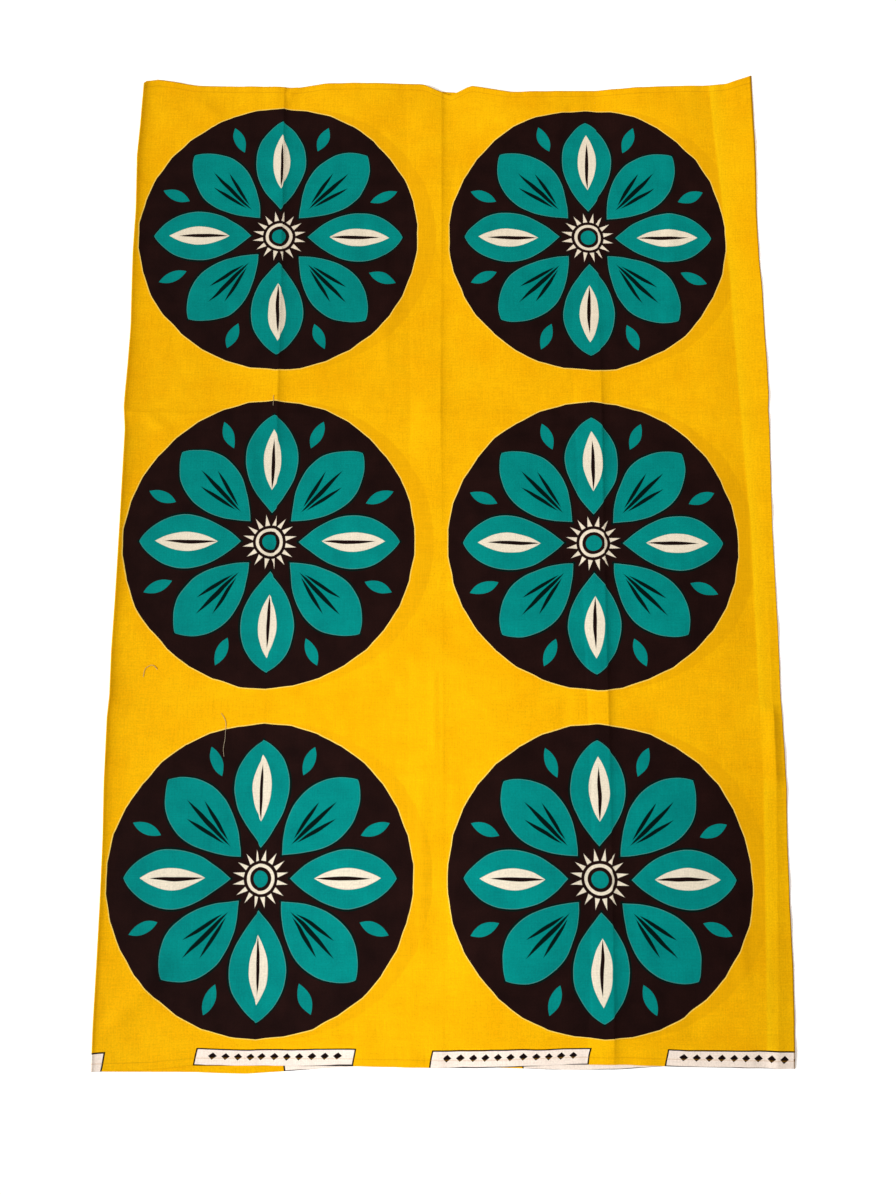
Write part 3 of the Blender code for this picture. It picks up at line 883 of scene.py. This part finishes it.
threads = {
    "radius": 0.00022,
    "lift": 1.5,              # its middle lies this many radii above the cloth
    "colour": "#B9A88C",
    "twistScale": 900.0,
    "twistShade": 0.7,        # how dark it is between the plies
    "roughness": 0.8,
    "paths": (
        ((0.1722, 0.7513), (0.1722, 0.7450), (0.1721, 0.7387)),
        ((0.0352, 0.4205), (0.0355, 0.4262), (0.0370, 0.4305), (0.0390, 0.4318), (0.0414, 0.4336),
         (0.0440, 0.4342), (0.0466, 0.4330), (0.0486, 0.4312), (0.0500, 0.4292)),
        ((0.1240, 0.3805), (0.1266, 0.3771), (0.1285, 0.3734), (0.1297, 0.3700), (0.1298, 0.3655),
         (0.1296, 0.3608), (0.1294, 0.3563), (0.1294, 0.3517), (0.1287, 0.3473), (0.1279, 0.3428),
         (0.1278, 0.3384), (0.1290, 0.3325)),
    ),
}


def makeUndyedYarn():
    # spun cotton yarn, undyed: pale and dull, with a fine twist
    material = bpy.data.materials.new("undyed cotton yarn")
    material.use_nodes = True
    tree = material.node_tree
    shader = tree.nodes["Principled BSDF"]
    place = addNode(tree, "TexCoord", out="Object")
    twist = addNode(tree, "TexNoise", at={"Vector": place, "Scale": threads["twistScale"], "Detail": 2.0})
    pale = linearColour(threads["colour"])
    shaded = tuple(threads["twistShade"] * part for part in pale[:3]) + (1.0,)
    tree.links.new(printOver(tree, pale, shaded, twist), shader.inputs["Base Color"])
    shader.inputs["Roughness"].default_value = threads["roughness"]
    return material


def makeThreads():
    # each lies on the cloth's own surface
    curve = bpy.data.curves.new("looseThreads", "CURVE")
    curve.dimensions = "3D"
    curve.bevel_depth = threads["radius"]
    curve.bevel_resolution = 2
    curve.use_fill_caps = True
    for path in threads["paths"]:
        spline = curve.splines.new("NURBS")
        spline.points.add(len(path) - 1)
        for point, (x, y) in zip(spline.points, path):
            at = np.array([x]), np.array([y])
            along, up = edgeShift(*at, 1)
            height = upperHeight(*at) + threads["radius"] * threads["lift"]
            point.co = (x + along[0] + shiftX, y + up[0] + shiftY, height[0], 1.0)
        spline.order_u = 3
        spline.use_endpoint_u = True
    piece = bpy.data.objects.new("looseThreads", curve)
    bpy.context.scene.collection.objects.link(piece)
    curve.materials.append(makeUndyedYarn())
    return piece


looseThreads = makeThreads()
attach(looseThreads, "root")
print("threads laid")


# floor, light and camera

studio = {
    "floorSize": 6.0,
    "floorHeight": -0.0002,
    "floorColour": "#FFFFFF",
    "floorRoughness": 0.9,
    "floorGlow": 0.14,        # lit from behind, so that it stays white in the corners
    "skyStrength": 0.20,
    "skyColour": "#FFFFFF",
    "sideStrength": 3.9,      # a wide low light from the left, which brings out the creases
    "sideElevation": 25.0,
    "sideAzimuth": 195.0,
    "sideAngle": 12.0,
    "sideDistance": 4.0,
    "topPower": 14.7,         # a softbox over the head, a little warmer than the rest
    "topColour": "#FFEEDC",
    "topSize": 1.4,
    "topPlace": (0.24, 0.50, 1.7),
    "spotCone": 14.5,         # and two soft spotlights on the middle of the foot half
    "spotRadius": 0.25,
    "spots": (
        ("foot spotlight", 96.0, (-0.085, -0.545, 2.4)),
        ("middle spotlight", 74.0, (-0.105, -0.185, 2.4)),
    ),
}


def makeFloor():
    # matt white acrylic, lit a little from behind, so plain and pale that only a soft shadow shows
    half, z = studio["floorSize"] / 2, studio["floorHeight"]
    corners = [(-half, -half, z), (half, -half, z), (half, half, z), (-half, half, z)]
    mesh = bpy.data.meshes.new("floor")
    mesh.from_pydata(corners, [], [(0, 1, 2, 3)])
    floor = bpy.data.objects.new("floor", mesh)
    bpy.context.scene.collection.objects.link(floor)
    material = bpy.data.materials.new("matt white acrylic")
    material.use_nodes = True
    shader = material.node_tree.nodes["Principled BSDF"]
    shader.inputs["Base Color"].default_value = linearColour(studio["floorColour"])
    shader.inputs["Emission Color"].default_value = linearColour(studio["floorColour"])
    shader.inputs["Emission Strength"].default_value = studio["floorGlow"]
    shader.inputs["Roughness"].default_value = studio["floorRoughness"]
    mesh.materials.append(material)


def makeLight():
    world = bpy.data.worlds.new("studio")
    world.use_nodes = True
    background = world.node_tree.nodes["Background"]
    background.inputs["Color"].default_value = linearColour(studio["skyColour"])
    background.inputs["Strength"].default_value = studio["skyStrength"]
    bpy.context.scene.world = world

    up, around = math.radians(studio["sideElevation"]), math.radians(studio["sideAzimuth"])
    towards = Vector((math.cos(up) * math.cos(around), math.cos(up) * math.sin(around), math.sin(up)))
    side = bpy.data.lights.new("side light", "SUN")
    side.energy = studio["sideStrength"]
    side.angle = math.radians(studio["sideAngle"])
    top = bpy.data.lights.new("softbox", "AREA")
    top.energy = studio["topPower"]
    top.color = linearColour(studio["topColour"])[:3]
    top.size = studio["topSize"]
    lights = [(side, studio["sideDistance"] * towards), (top, Vector(studio["topPlace"]))]
    for name, power, place in studio["spots"]:
        spot = bpy.data.lights.new(name, "SPOT")
        spot.energy = power
        spot.spot_size = math.radians(studio["spotCone"])
        spot.spot_blend = 1.0
        spot.shadow_soft_size = studio["spotRadius"]
        lights.append((spot, Vector(place)))
    for data, place in lights:
        lamp = bpy.data.objects.new(data.name, data)
        lamp.location = place
        aim = -towards if data is side else Vector((0.0, 0.0, -1.0))
        lamp.rotation_euler = aim.to_track_quat("-Z", "Y").to_euler()
        bpy.context.scene.collection.objects.link(lamp)


view = {
    "lens": 27.1,             # mm, on a frame 36 mm high
    "frameHeight": 36.0,
    "aim": (0.378, 0.5125),   # the place on the cloth that the photo's middle shows
    "back": 0.138,            # how far the camera is from there towards the foot
    "up": 1.021,              # and how far above it
    "roll": 0.17,             # degrees
}


def makeCamera():
    data = bpy.data.cameras.new("camera")
    data.sensor_fit = "VERTICAL"
    data.sensor_height = view["frameHeight"]
    data.sensor_width = view["frameHeight"]
    data.lens = view["lens"]
    camera = bpy.data.objects.new("camera", data)
    bpy.context.scene.collection.objects.link(camera)
    aim = Vector((view["aim"][0] + shiftX, view["aim"][1] + shiftY, 0.0))
    place = aim + Vector((0.0, -view["back"], view["up"]))
    turn = (aim - place).to_track_quat("-Z", "Y").to_matrix().to_4x4()
    roll = Matrix.Rotation(math.radians(view["roll"]), 4, "Z")
    camera.matrix_world = Matrix.Translation(place) @ turn @ roll
    bpy.context.scene.camera = camera


makeFloor()
makeLight()
makeCamera()
bpy.context.scene.view_settings.view_transform = "Standard"  # the print's strong colours stay as they are
print("studio ready")
